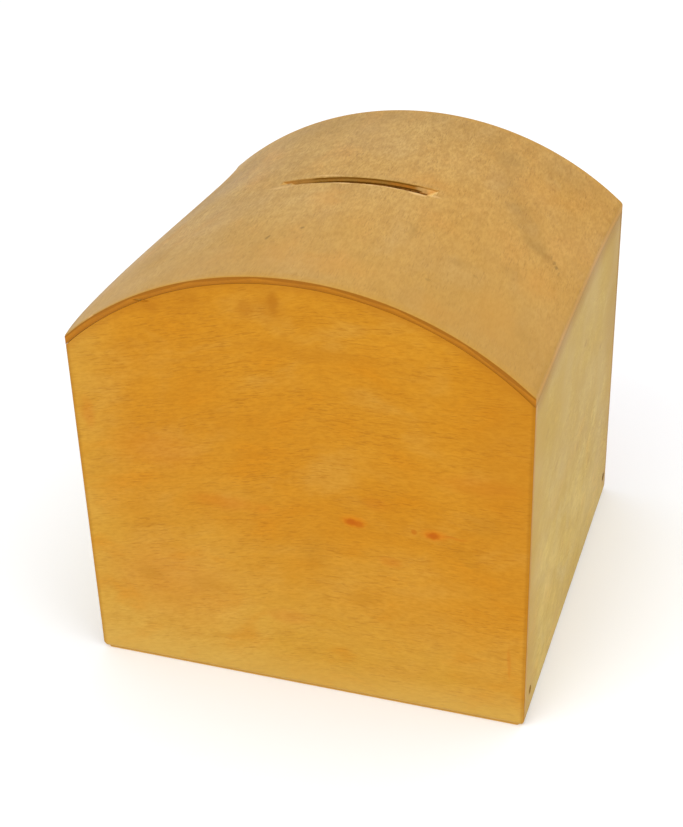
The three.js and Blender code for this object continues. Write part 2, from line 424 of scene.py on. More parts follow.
def wood_grain(s, place, axis, tones, shares, seed=0.0):
    """Colour and height of fine veneer.

    tones: the light and mid ground, the dark of the grain, the pores, and two hues that patches lean to.
    shares: how strong the mottle, the short dashes, the long streaks, the pores and the patches are.
    """
    light, mid, dark, pore, rosy, olive = tones
    mottled, dashed, streaked, pored, patched = shares
    blotch = s.noise(along(axis, 42 * MM, 22 * MM), 4, 0.55, seed, 0.4, place)
    patch = s.noise(along(axis, 24 * MM, 13 * MM), 3, 0.5, seed + 5, 0.3, place)
    mottle = s.noise(along(axis, 5.5 * MM, 2.6 * MM), 3, 0.6, seed + 9, 0.0, place)
    dash = s.noise(along(axis, 2.6 * MM, 0.8 * MM), 2, 0.6, seed + 13, 0.0, place)
    streak = s.noise(along(axis, 42 * MM, 2.2 * MM), 4, 0.6, seed + 17, 0.0, place)
    pores = s.noise(along(axis, 3.4 * MM, 0.34 * MM), 1, 0.5, seed + 21, 0.0, place)
    gathered = s.noise(along(axis, 18 * MM, 8 * MM), 2, 0.5, seed + 25, 0.0, place)

    colour = s.mix(s.ease(blotch, 0.3, 0.7), light, mid)
    colour = s.tint(colour, s.ease(patch, 0.5, 0.75), patched, rosy)
    colour = s.tint(colour, s.ease(patch, 0.25, 0.5, 1.0, 0.0), patched, olive)
    colour = s.tint(colour, s.ease(mottle, 0.35, 0.68), mottled, dark)
    colour = s.tint(colour, s.ease(streak, 0.4, 0.7), streaked, dark)
    colour = s.tint(colour, s.ease(dash, 0.36, 0.68), dashed, dark)
    pore_mask = s.math("MULTIPLY", s.ease(pores, 0.56, 0.7), s.ease(gathered, 0.3, 0.62))
    colour = s.tint(colour, pore_mask, pored, pore)
    height = s.math("SUBTRACT", s.math("MULTIPLY", dash, 0.6), pore_mask)
    return colour, height


def add_spots(s, colour, tone, wobble, soft, depth, spots, at):
    """Tints spots, given in millimetres as (across, along, half width, half height, share), on one face."""
    for across, up, wide, tall, share in spots:
        centre, radii = at(across, up, wide, tall, depth)
        colour = s.tint(colour, s.spot(centre, radii, soft, wobble), share, tone)
    return colour


# ------------------------------------------------------------------ materials


def at_end(side):
    """Places a spot given by x and z on the front (-1) or back (+1) panel."""
    def at(x, z, wide, tall, depth):
        return (x * MM, side * HALF_DEPTH, z * MM), (wide * MM, depth * MM, tall * MM)
    return at


def at_side(side):
    """Places a spot given by y and z on the left (-1) or right (+1) side."""
    def at(y, z, wide, tall, depth):
        return (side * HALF_WIDTH, y * MM, z * MM), (depth * MM, wide * MM, tall * MM)
    return at


def at_top(arc, y, wide, tall, depth):
    """Places a spot given by its arc length from the crown and its y on the top."""
    angle = arc * MM / ARCH_RADIUS
    centre = (ARCH_RADIUS * math.sin(angle), y * MM, ARCH_CENTRE + ARCH_RADIUS * math.cos(angle))
    return centre, (wide * MM, tall * MM, depth * MM)


def panel_material(name, seed, side, marks):
    """Amber varnished plywood, grain across the panel, yellower towards its foot.

    side is -1 for the front panel and +1 for the back one. marks adds the panel's own spots to its colour.
    """
    s = Surface(name)
    climb = s.math("ADD", s.math("MULTIPLY", s.x, 0.04), s.math("MULTIPLY", s.math("MINIMUM", s.x, 8 * MM), 0.2))
    place = s.vector("SUBTRACT", s.place, s.vector("MULTIPLY", climb, (0, 0, 1)))
    hues = (srgb(201, 128, 14), srgb(199, 148, 58))
    upper = (srgb(199, 137, 33), srgb(195, 130, 24), srgb(164, 98, 6), srgb(138, 76, 4), *hues)
    lower = (srgb(204, 159, 68), srgb(200, 152, 54), srgb(170, 118, 28), srgb(146, 90, 18), *hues)
    shares = (0.15, 0.27, 0.12, 0.32, 0.5)
    warm, height = wood_grain(s, place, 0, upper, shares, seed)
    pale, _ = wood_grain(s, place, 0, lower, shares, seed)
    drift = s.noise((46 * MM, 46 * MM, 24 * MM), 3, 0.5, seed + 41)
    level = s.math("ADD", s.z, s.math("MULTIPLY", s.math("SUBTRACT", drift, 0.5), 80 * MM))
    level = s.math("ADD", level, s.math("MULTIPLY", s.x, 0.3))
    colour = s.mix(s.ease(level, -14 * MM, 84 * MM, 1.0, 0.0), warm, pale)
    colour = s.mix(s.ease(s.x, -HALF_WIDTH, -52 * MM, 0.6, 0.0), colour, pale)
    colour = s.tint(colour, s.ease(s.z, 0, 16 * MM, 1.0, 0.0), 0.5, srgb(204, 168, 84))
    right_edge = s.math("MULTIPLY", s.ease(s.x, 48 * MM, 66 * MM), s.ease(s.z, 40 * MM, 90 * MM))
    colour = s.tint(colour, right_edge, 0.3, srgb(176, 108, 16))
    colour = marks(s, colour)
    # Painted shade: a band of the panel just below the bent sheet is darkened, as shade under the joint.
    from_axis = s.vector("MULTIPLY", s.vector("SUBTRACT", s.place, (0, 0, ARCH_CENTRE)), (1, 0, 1))
    under_top = s.math("SUBTRACT", ARCH_RADIUS - SHEET, s.vector("LENGTH", from_axis, output=1))
    colour = s.tint(colour, s.ease(under_top, 0, 3.5 * MM, 1.0, 0.0), 0.45, srgb(172, 106, 18))
    colour = ply_end(s, colour, side)
    sheen = s.noise((30 * MM, 30 * MM, 18 * MM), 3, 0.5, seed + 45)
    s.bump(height, 0.04 * MM, 0.5)
    return s.finish(colour, s.ease(sheen, 0.25, 0.75, 0.4, 0.52), 0.2, (1, 0.74, 0.3))


def ply_end(s, colour, side):
    """Shows a panel's plies on its upright edges, darker on the back panel, and pales its foot as painted light
    against the shade there.
    """
    width = s.math("ABSOLUTE", s.x)
    colour = s.tint(colour, s.ease(width, HALF_WIDTH - 1.7 * MM, HALF_WIDTH - 0.4 * MM), 0.42, srgb(150, 94, 14))
    across = s.math("SUBTRACT", HALF_DEPTH, s.math("MULTIPLY", s.y, side))
    share = s.math("DIVIDE", across, HALF_DEPTH - PANEL_INNER)
    plies = s.ramp(
        share,
        (0.08, srgb(160, 106, 12)), (0.2, srgb(164, 114, 14)), (0.32, srgb(170, 124, 22)),
        (0.7, srgb(176, 132, 36)), (0.82, srgb(168, 124, 30)), (0.95, srgb(178, 137, 44)),
    )
    if side > 0:
        plies = s.mix(0.45, plies, srgb(130, 98, 40))
    face = s.ease(width, HALF_WIDTH - 0.25 * MM, HALF_WIDTH - 0.02 * MM)
    colour = s.tint(colour, face, 0.85, plies)
    # Painted light: the lowest 1.4 mm is paled to cancel the shade that falls on the rounded foot next to the floor.
    return s.tint(colour, s.ease(s.z, 0.3 * MM, 1.4 * MM, 1.0, 0.0), 0.6, srgb(232, 190, 100))


def front_marks(s, colour):
    """Resin spots and stains on the front panel."""
    small = s.wobble(1.4 * MM, 0.45 * MM)
    streaky = s.wobble(5 * MM, 1.2 * MM, 9.0)
    at = at_end(-1)
    resin = (
        (17.9, 69.8, 1.9, 1.15, 0.9), (20.6, 69.4, 1.5, 1.15, 0.65), (38.4, 69.8, 0.9, 0.9, 0.55),
        (44.5, 69.5, 2, 1.15, 0.9),
    )
    halo = ((18.8, 70.1, 3.6, 1.9, 0.5), (44.8, 69.8, 3.6, 1.8, 0.5))
    colour = add_spots(s, colour, srgb(208, 116, 4), small, 0.6, 3, halo, at)
    colour = add_spots(s, colour, srgb(178, 87, 0), small, 0.55, 3, resin, at)
    reddish = (
        (50.5, 69.9, 4.5, 0.45, 0.4), (30.8, 57.2, 3.2, 1.6, 0.3), (-25, 69.7, 10, 2.4, 0.3),
        (-11, 69.5, 2, 1.4, 0.2), (26, 78, 4, 2, 0.2), (-5, 28, 7, 2.6, 0.22), (69.6, 25, 0.5, 6, 0.3),
        (58, 90, 12, 3, 0.2), (-47, 86, 13, 6, 0.2), (-70, 96, 2, 5, 0.3), (-46, 34, 20, 13, 0.22),
    )
    colour = add_spots(s, colour, srgb(188, 98, 12), streaky, 0.7, 6, reddish, at)
    olive = (
        (5.5, 55, 4, 6, 0.3), (21, 41, 5, 2.4, 0.3), (54.7, 64, 4, 2, 0.25), (60, 76, 6, 4, 0.22),
        (-54, 36, 4.5, 2.6, 0.36), (-33, 36, 6, 3, 0.26), (57, 61, 2, 1, 0.3),
    )
    colour = add_spots(s, colour, srgb(172, 116, 24), streaky, 0.7, 6, olive, at)
    stains = (
        (-4.2, 143.5, 1.6, 3.2, 0.5), (-5.5, 141, 4.5, 4.5, 0.3), (-13.2, 140.2, 2.6, 3, 0.4),
        (-31.5, 141, 5, 2.6, 0.3), (-44, 136.6, 2.2, 1.4, 0.3), (-36, 137, 6, 2, 0.2),
        (6, 128, 20, 2.4, 0.16), (-46, 139, 5, 4, 0.24),
    )
    return add_spots(s, colour, srgb(160, 92, 6), streaky, 0.7, 6, stains, at)


def back_marks(s, colour):
    """A few darker patches on the back panel."""
    broad = s.wobble(9 * MM, 5 * MM, 8.0)
    patches = ((22, 96, 9, 4, 0.3), (-38, 52, 7, 3, 0.3), (48, 30, 5, 3, 0.3))
    return add_spots(s, colour, srgb(176, 104, 18), broad, 0.7, 6, patches, at_end(1))


def top_material():
    """Bent plywood: grain front to back, its three plies showing wherever an edge is cut."""
    s = Surface("bent_top_plywood")
    place = s.turned((0, 0, 1), -5)
    hues = (srgb(204, 149, 74), srgb(188, 154, 96))
    grey = (srgb(195, 159, 94), srgb(188, 150, 85), srgb(152, 113, 54), srgb(124, 86, 36), *hues)
    warm = (srgb(197, 154, 80), srgb(191, 146, 70), srgb(156, 108, 40), srgb(126, 82, 30), *hues)
    calm = s.math("SUBTRACT", s.math("MULTIPLY", s.x, 0.5), s.y)
    mottled = s.ease(calm, -30 * MM, 60 * MM, 0.34, 0.2)
    dashed = s.ease(calm, -30 * MM, 60 * MM, 0.44, 0.32)
    pored = s.ease(calm, -30 * MM, 60 * MM, 0.4, 0.36)
    shares = (mottled, dashed, 0.12, pored, 0.4)
    pale, height = wood_grain(s, place, 1, grey, shares, 41)
    amber, _ = wood_grain(s, place, 1, warm, shares, 41)
    drift = s.noise((40 * MM, 50 * MM, 40 * MM), 3, 0.5, 52)
    swing = s.math("MULTIPLY", s.math("SUBTRACT", drift, 0.5), 80 * MM)
    across = s.math("SUBTRACT", s.math("ADD", s.x, swing), s.math("MULTIPLY", s.y, 0.35))
    colour = s.mix(s.ease(across, -52 * MM, 52 * MM), pale, amber)
    colour = top_marks(s, colour)
    width = s.math("ABSOLUTE", s.x)
    colour = s.tint(colour, s.ease(width, HALF_WIDTH - 2.4 * MM, HALF_WIDTH - 0.3 * MM), 0.45, srgb(148, 108, 36))
    shaded = s.math("MULTIPLY", s.ease(s.x, 15 * MM, 60 * MM), s.ease(s.y, -70 * MM, 40 * MM, 1.0, 0.3))
    colour = s.tint(colour, shaded, 0.36, srgb(172, 128, 54))
    colour = s.tint(colour, s.ease(s.y, -60 * MM, -8 * MM, 1.0, 0.0), 0.3, srgb(172, 130, 58))
    reach = s.math("ABSOLUTE", s.y)
    colour = s.tint(colour, s.ease(reach, HALF_DEPTH - 4 * MM, HALF_DEPTH - 1 * MM), 0.32, srgb(186, 136, 48))
    colour = cut_edges(s, colour)
    sheen = s.noise((26 * MM, 34 * MM, 26 * MM), 3, 0.5, 71)
    s.bump(height, 0.05 * MM, 0.5)
    return s.finish(colour, s.ease(sheen, 0.25, 0.75, 0.46, 0.6), 0.18, (1, 0.88, 0.62))


def cut_edges(s, colour):
    """Colours the bent sheet's cut edges by how deep in its plies each point lies, with painted shade at the joint
    and in the slot and painted light at the slot's ends.
    """
    depth = s.attribute("ply_depth")
    rough = s.noise((0.5 * MM,) * 3, 3, 0.6, 60)
    uneven = s.math("ADD", depth, s.math("MULTIPLY", s.math("SUBTRACT", rough, 0.5), 0.08))
    coarse = s.noise((3 * MM,) * 3, 2, 0.5, 62)

    # Front and back edges: stained plies with dark glue lines; the darkest stops at the bottom are partly painted
    # shade along the joint with the panel.
    stained = s.ramp(
        uneven,
        (0.08, srgb(168, 116, 48)), (0.15, srgb(144, 90, 10)), (0.24, srgb(152, 92, 8)), (0.36, srgb(180, 114, 20)),
        (0.66, srgb(174, 108, 16)), (0.80, srgb(161, 98, 4)), (0.92, srgb(162, 100, 4)), (1.0, srgb(136, 80, 4)),
    )
    stained = s.tint(stained, s.ease(s.noise((16 * MM,) * 3, 2, 0.5, 64), 0.42, 0.62), 0.4, srgb(156, 94, 14))
    reach = s.math("ABSOLUTE", s.y)
    ends = s.ease(reach, HALF_DEPTH - 0.5 * MM, HALF_DEPTH - 0.1 * MM)
    side_ply = s.ramp(
        uneven,
        (0.1, srgb(182, 130, 32)), (0.5, srgb(176, 126, 30)), (0.75, srgb(164, 120, 30)), (1.0, srgb(148, 106, 20)),
    )
    # Slot walls: plies with dark glue lines; the dark line at the lip and the darkest stops at the bottom are partly
    # painted shade inside the narrow slot.
    slot_plies_and_shade = s.ramp(
        uneven,
        (0.05, srgb(176, 126, 48)), (0.13, srgb(142, 94, 20)), (0.30, srgb(148, 98, 26)), (0.42, srgb(190, 140, 62)),
        (0.64, srgb(184, 134, 56)), (0.76, srgb(104, 64, 6)), (0.90, srgb(122, 78, 14)), (1.0, srgb(70, 40, 4)),
    )
    orange = s.math("ADD", s.ease(coarse, 0.45, 0.65, 0.0, 0.5), s.spot((12 * MM, 0, CROWN), (5 * MM, 1, 1), 0.5))
    in_core = s.ease(s.math("ABSOLUTE", s.math("SUBTRACT", uneven, 0.53)), 0.14, 0.22, 1.0, 0.0)
    slot_plies_and_shade = s.tint(slot_plies_and_shade, s.math("MULTIPLY", orange, in_core), 0.6, srgb(214, 132, 40))
    ramp_ply = s.ramp(
        uneven,
        (0.0, srgb(204, 164, 92)), (0.3, srgb(220, 174, 92)), (0.6, srgb(216, 164, 80)), (0.85, srgb(196, 138, 52)),
        (1.0, srgb(150, 96, 24)),
    )
    # Painted light: the slot's walls are painted paler towards its ends, against the shade inside the slot.
    lit_slot_ends = s.ease(s.math("ABSOLUTE", s.math("ADD", s.x, 0.8 * MM)), 17 * MM, 20 * MM)
    slot_plies_and_shade = s.tint(slot_plies_and_shade, lit_slot_ends, 0.72, srgb(204, 150, 72))
    # Painted light: at the right end the far wall below its top ply is painted pale like the lit ramp floor, though
    # it lies in shade.
    above_bottom = s.ease(uneven, 0.66, 0.76, 1.0, 0.0)
    below_top = s.ease(uneven, 0.2, 0.32)
    lit_run_out = s.math("MULTIPLY", below_top, s.math("MAXIMUM", above_bottom, s.ease(s.x, 17.8 * MM, 18.6 * MM)))
    lit_run_out = s.math("MULTIPLY", lit_run_out, s.ease(s.x, 15.4 * MM, 17.6 * MM))
    slot_plies_and_shade = s.tint(slot_plies_and_shade, lit_run_out, 0.8, srgb(240, 194, 118))
    # Painted light: the ramp floor is painted paler towards the right end, against the shade inside the slot.
    ramp_ply = s.tint(ramp_ply, s.ease(s.x, 17 * MM, 21 * MM), 0.35, srgb(246, 214, 146))
    ramp_ply = s.tint(ramp_ply, s.ease(s.x, -26 * MM, -22 * MM, 1.0, 0.0), 0.5, srgb(176, 128, 60))
    slot_edge = s.mix(s.attribute("slot_ramp"), slot_plies_and_shade, ramp_ply)
    near_slot = s.ease(s.math("ABSOLUTE", s.x), 45 * MM, 50 * MM, 1.0, 0.0)
    edge = s.mix(near_slot, side_ply, slot_edge)
    edge = s.mix(ends, edge, stained)
    fibre = s.noise((0.9 * MM, 0.9 * MM, 0.22 * MM), 3, 0.6, 66)
    edge = s.tint(edge, s.ease(fibre, 0.45, 0.8), 0.35, srgb(120, 74, 24))
    colour = s.mix(s.ease(depth, 0.06, 0.14), colour, edge)
    return colour


def top_marks(s, colour):
    """Dark marks, grime and painted shade on the top, and the pale frayed lip of the slot with a painted highlight.
    """
    small = s.wobble(1.5 * MM, 0.6 * MM, 2.0)
    # Small dark marks.
    dark_marks = (
        (-7.7, -37.7, 0.55, 0.9, 0.6), (-16.5, -45.5, 0.5, 1.6, 0.65), (70.2, -1.2, 0.5, 1.3, 0.65),
        (67.2, 2.6, 0.4, 1.4, 0.35), (-48.5, -50.5, 0.8, 1.4, 0.3), (37.3, -52, 0.9, 0.7, 0.4),
        (49, -37, 0.7, 1.0, 0.3), (68.8, 0.6, 0.4, 1.3, 0.45), (71.6, -3.6, 0.35, 1.6, 0.35),
    )
    colour = add_spots(s, colour, srgb(104, 78, 36), small, 0.5, 3, dark_marks, at_top)
    loose = s.wobble(4 * MM, 2.4 * MM, 4.0)
    smear = ((58.5, 2.4, 3, 2, 0.24), (62.5, 1, 3, 2.4, 0.34), (66, -0.4, 2.6, 2.2, 0.42))
    colour = add_spots(s, colour, srgb(146, 104, 40), loose, 0.8, 5, smear, at_top)
    broad = s.wobble(9 * MM, 6 * MM, 6.0)
    # Grime patches; the long patch along the left edge and the patches along the back are painted shade where less
    # light falls on the top.
    grime_and_shade = (
        (62, 4, 5, 4, 0.34), (55, 12, 5, 5, 0.24), (48, 19, 3.4, 5, 0.36), (42, 33, 3, 10, 0.2),
        (38, 50, 5, 6, 0.34), (31, 60, 3, 6, 0.2), (25, -26, 1.6, 5, 0.34), (44, -34, 2.4, 2, 0.3),
        (69, -50, 3, 4, 0.3), (-66, 30, 9, 34, 0.3), (-40, 62, 22, 12, 0.24), (-58, -44, 6, 8, 0.2),
        (60, 62, 14, 8, 0.22), (0, 68, 30, 6, 0.16), (-44, -10, 8, 10, 0.14), (60, -22, 4, 3, 0.2),
    )
    colour = add_spots(s, colour, srgb(140, 106, 50), broad, 0.8, 9, grime_and_shade, at_top)
    orange = (
        (60, -54, 7, 12, 0.3), (66, -20, 4, 8, 0.24), (8, -60, 12, 6, 0.3), (-10, -56, 5, 8, 0.24),
        (20, 12, 8, 5, 0.22), (-8, -14, 4, 8, 0.24), (45, -66, 8, 5, 0.26), (56, 40, 8, 8, 0.14),
    )
    colour = add_spots(s, colour, srgb(204, 140, 54), broad, 0.8, 9, orange, at_top)
    # The slot's lips: pale frayed fibres, painted paler still as a highlight where the fuzzy lip catches the light.
    frayed = s.wobble(2.2 * MM, 0.35 * MM, 12.0)
    lips = (
        (-7, 0.3, 3.4, 0.5, 0.6), (2.5, 0.6, 3, 0.5, 0.5), (10, 0.8, 3, 0.5, 0.5), (18.5, 0.4, 3, 0.8, 0.6),
        (-28, -0.6, 4.5, 1.1, 0.3), (-14, 7.2, 5, 0.5, 0.4), (23.5, 2.4, 2.4, 0.8, 0.45),
    )
    colour = add_spots(s, colour, srgb(224, 182, 120), frayed, 0.4, 9, lips, at_top)
    broken = s.spot(sheet_edge(-64.5 * MM, 0.5 * MM), (1.8 * MM, 1.2 * MM, 0.7 * MM), 0.4, small)
    return s.tint(colour, broken, 0.8, srgb(226, 180, 122))


def side_material(name, side, seed):
    """Pale solid wood with soft dark flecks, stained round its two pin heads."""
    s = Surface(name)
    place = s.turned((1, 0, 0), 4)
    tones = (
        srgb(205, 178, 99), srgb(191, 160, 77), srgb(162, 130, 58), srgb(138, 102, 40),
        srgb(208, 162, 72), srgb(190, 167, 110),
    )
    figure = s.math("ADD", s.z, s.math("MULTIPLY", s.y, 0.6))
    mottled = s.ease(figure, 35 * MM, 75 * MM, 0.26, 0.5)
    dashed = s.ease(figure, 35 * MM, 75 * MM, 0.26, 0.56)
    pored = s.ease(figure, 35 * MM, 75 * MM, 0.3, 0.6)
    colour, height = wood_grain(s, place, 1, tones, (mottled, dashed, 0.08, pored, 0.75), seed)
    mottle = s.noise((9 * MM, 12 * MM, 8 * MM), 3, 0.6, seed + 61)
    blotchy = s.math("MULTIPLY", s.ease(mottle, 0.38, 0.62), s.ease(figure, 35 * MM, 75 * MM, 0.36, 0.72))
    colour = s.tint(colour, blotchy, 1.0, srgb(172, 140, 66))
    flecks = s.noise((1.6 * MM, 4.2 * MM, 1.5 * MM), 2, 0.5, seed + 65)
    spread_out = s.noise((18 * MM,) * 3, 1, 0.5, seed + 69)
    fleck = s.math("MULTIPLY", s.ease(flecks, 0.62, 0.78), s.ease(spread_out, 0.42, 0.6))
    colour = s.tint(colour, fleck, 0.4, srgb(140, 98, 50))
    small = s.wobble(2.4 * MM, 1.2 * MM, seed)
    flecked = (
        (12, 97, 2.6, 0.8, 0.75), (17, 95, 4, 1.3, 0.3), (44, 80, 2.2, 0.9, 0.5), (3, 61, 2.4, 1.6, 0.34),
        (-54, 99, 2.8, 1.3, 0.4), (-36, 77, 3, 1.3, 0.3), (-26, 62, 1.2, 0.6, 0.3), (30, 40, 3, 1, 0.2),
    )
    colour = add_spots(s, colour, srgb(126, 84, 42), small, 0.6, 3, flecked, at_side(side))
    colour = nail_stains(s, colour, side)
    front_strip = s.ease(s.y, -HALF_DEPTH, -50 * MM, 0.8, 0.0)
    back_strip = s.math("MULTIPLY", s.ease(s.y, 44 * MM, HALF_DEPTH), s.ease(s.z, 20 * MM, 70 * MM, 0.3, 0.85))
    colour = s.mix(s.math("ADD", front_strip, back_strip), colour, srgb(174, 137, 62))
    # Darker towards the upper back corner.
    upper_back_darkening = s.math("MULTIPLY", s.ease(s.y, 46 * MM, 62 * MM), s.ease(s.z, 56 * MM, 80 * MM))
    colour = s.tint(colour, upper_back_darkening, 0.5, srgb(146, 108, 44))
    # Painted shade: the side is darkened towards its top, to even out the stronger light on its upper part.
    colour = s.tint(colour, s.ease(s.z, 20 * MM, 112 * MM), 0.65, srgb(176, 142, 60))
    colour = s.tint(colour, s.ease(s.z, EAVES - 10 * MM, EAVES - 3.6 * MM), 0.7, srgb(154, 112, 32))
    colour = s.tint(colour, s.ease(s.z, 0.2 * MM, 2.4 * MM, 1.0, 0.0), 0.45, srgb(150, 120, 60))
    sheen = s.noise((26 * MM, 34 * MM, 26 * MM), 3, 0.5, seed + 73)
    s.bump(height, 0.05 * MM, 0.5)
    return s.finish(colour, s.ease(sheen, 0.25, 0.75, 0.48, 0.62), 0.18, (1, 0.88, 0.62))


def nail_stains(s, colour, side):
    """A brown halo and rim round each nail, darker at the back."""
    small = s.wobble(1.5 * MM, 0.6 * MM, 3.0)
    for node in pin_nodes(side):
        low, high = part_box(node)
        centre = (low + high) / 2
        face = (side * HALF_WIDTH, centre.y, centre.z)
        strength = 1.0 if centre.y > 0 else 0.6
        halo = s.spot(face, (4 * MM, 3.2 * MM, 3.2 * MM), 0.55, small)
        colour = s.tint(colour, halo, 0.5 * strength, srgb(150, 102, 46))
        rim = s.spot(face, (3 * MM, 1.9 * MM, 1.9 * MM), 0.15)
        colour = s.tint(colour, rim, 0.8 * strength, srgb(96, 62, 28))
    return colour


def base_material():
    """Bare sanded wood under the box, grain from side to side."""
    s = Surface("bare_base_wood")
    tones = (
        srgb(206, 176, 122), srgb(198, 164, 108), srgb(164, 124, 74), srgb(130, 92, 50),
        srgb(204, 158, 104), srgb(190, 164, 104),
    )
    colour, height = wood_grain(s, s.place, 0, tones, (0.3, 0.3, 0.4, 0.4, 0.3), 90)
    s.bump(height, 0.08 * MM, 0.6)
    return s.finish(colour, 0.7, 0.3)


def pin_material():
    """Dull nail steel with brown rust, dusty at the front and darker at the back."""
    s = Surface("rusted_pin_steel")
    rust = s.noise((0.7 * MM,) * 3, 4, 0.6, 3)
    mask = s.ease(rust, 0.35, 0.62)
    dark = s.mix(mask, srgb(60, 44, 24), srgb(54, 30, 8))
    dusty = s.mix(mask, srgb(164, 122, 66), srgb(146, 104, 52))
    colour = s.mix(s.ease(s.y, -10 * MM, 10 * MM), dusty, dark)
    s.feed(s.shader.inputs["Metallic"], s.ease(rust, 0.35, 0.62, 0.6, 0.1))
    s.bump(rust, 0.1 * MM, 0.6)
    return s.finish(colour, s.ease(rust, 0.35, 0.62, 0.45, 0.8), 0.4)


def fibre_material():
    """Torn brown wood fibres."""
    s = Surface("torn_fibres")
    tone = s.noise((1.5 * MM,) * 3, 2, 0.5, 7)
    colour = s.mix(s.ease(tone, 0.35, 0.65), srgb(176, 116, 46), srgb(120, 74, 26))
    return s.finish(colour, 0.8, 0.2)


def rubber_material():
    """Matt black rubber with a fine moulded grain."""
    s = Surface("matt_black_rubber")
    dust = s.noise((4 * MM,) * 3, 4, 0.6, 5)
    colour = s.mix(s.ease(dust, 0.35, 0.75), srgb(34, 32, 31), srgb(56, 53, 50))
    s.bump(s.noise((0.35 * MM,) * 3, 2, 0.5, 9), 0.05 * MM, 0.5)
    return s.finish(colour, s.ease(dust, 0.3, 0.7, 0.6, 0.8), 0.5)


def floor_material():
    """A plain pale floor."""
    return Surface("pale_floor").finish((0.95, 0.965, 0.985), 0.9, 0.1)


# ------------------------------------------------------------------ pieces


def pin_nodes(side):
    """The two pins of the right (+1) or left (-1) side."""
    name = "right" if side > 0 else "left"
    return [f"{name}_front_base_pin", f"{name}_back_base_pin"]


def pin_profile(clearance=0.0, over=0.0):
    """A nail's outline, head at z = 0 and point down. clearance swells it into the bore that it sits in."""
    shank = PIN_SHANK + clearance
    head = PIN_HEAD_RADIUS + clearance
    length = PIN_HEAD[1].x - PIN_HEAD[0].x + clearance
    thick = PIN_HEAD_THICK + clearance
    if over:
        return [(0, -length), (shank, PIN_POINT - length), (shank, -thick), (head, -thick), (head, over), (0, over)]
    soft = 0.2 * MM
    dome = 0.12 * MM
    return [
        (0, -length), (shank, PIN_POINT - length), (shank, -thick), (head - soft, -thick), (head, soft - thick),
        (head, -soft - dome), (head - 0.3 * soft, -0.35 * soft - dome), (head - soft, -dome),
        (0.6 * head, -0.3 * dome), (0, 0),
    ]


def pin_turn(node):
    """Places a nail, head outwards, where the CAD has it."""
    low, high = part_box(node)
    centre = (low + high) / 2
    side = 1 if centre.x > 0 else -1
    head_x = high.x if side > 0 else low.x
    return Matrix.Translation((head_x, centre.y, centre.z)) @ Matrix.Rotation(side * math.pi / 2, 4, "Y")


def pin_bore(node):
    """The hole that a nail stands in, open to the outside."""
    return lathe(f"bore_{node}", pin_profile(PIN_CLEARANCE, 3 * MM), 32, pin_turn(node))


def blade_centre(middle, through):
    """Where the blade's axle stood, as (x, z), when it had cut this length through the sheet."""
    to_underside = math.sqrt((ARCH_RADIUS - SHEET) ** 2 - (through / 2) ** 2)
    reach = to_underside + math.sqrt(BLADE_RADIUS**2 - (through / 2) ** 2)
    lean = math.asin(middle / ARCH_RADIUS)
    return reach * math.sin(lean), ARCH_CENTRE + reach * math.cos(lean)


def slot_line(saw_pass, x, across=0.0):
    """The y of a pass at this x, this far across from its middle line."""
    middle, y, _, turn = saw_pass
    return y + (x - middle) * math.tan(math.radians(turn)) + across


def saw_cut(saw_pass, lips):
    """The solid that one pass takes away. lips: how much its front and back walls are frayed at the surface."""
    middle, _, through, _ = saw_pass
    axle_x, axle_z = blade_centre(middle, through)
    flare = 3 * MM  # how far the cutter goes on above the surface
    fine_wave, fine_depth = 1.6 * MM, 0.16 * MM
    long_wave, long_depth = 13 * MM, 0.3 * MM
    bm = bmesh.new()
    columns = []
    for x in spread(middle - BLADE_REACH, middle + BLADE_REACH, SLOT_STEPS):
        floor = axle_z - math.sqrt(BLADE_RADIUS**2 - (x - axle_x) ** 2)
        surface = ARCH_CENTRE + math.sqrt(ARCH_RADIUS**2 - x**2)
        lip = max(floor + 0.02 * MM, surface - SLOT_LIP)
        column = []
        for wall, frays in zip((-0.5, 0.5), lips):
            ragged = noise.noise((x / fine_wave, wall * 40, 0)) * fine_depth
            ragged += noise.noise((x / long_wave, wall * 40, 5)) * long_depth
            y = slot_line(saw_pass, x, wall * BLADE_KERF + ragged)
            frayed = frays * flare * (0.7 + 0.8 * abs(noise.noise((x / (2.4 * MM), wall * 30, 9))))
            heights = ((floor, 0), (lip, 0), (lip + flare, frayed))
            column.append([bm.verts.new((x, y + 2 * wall * out, z)) for z, out in heights])
        columns.append(column)
    for near, far in zip(columns, columns[1:]):
        for low in (0, -1):
            bm.faces.new((near[0][low], near[1][low], far[1][low], far[0][low]))
        for wall in (0, 1):
            for i in (0, 1):
                bm.faces.new((near[wall][i], near[wall][i + 1], far[wall][i + 1], far[wall][i]))
    for column in (columns[0], columns[-1]):
        bm.faces.new(column[0] + column[1][::-1])
    return new_object("saw_cut", bm)


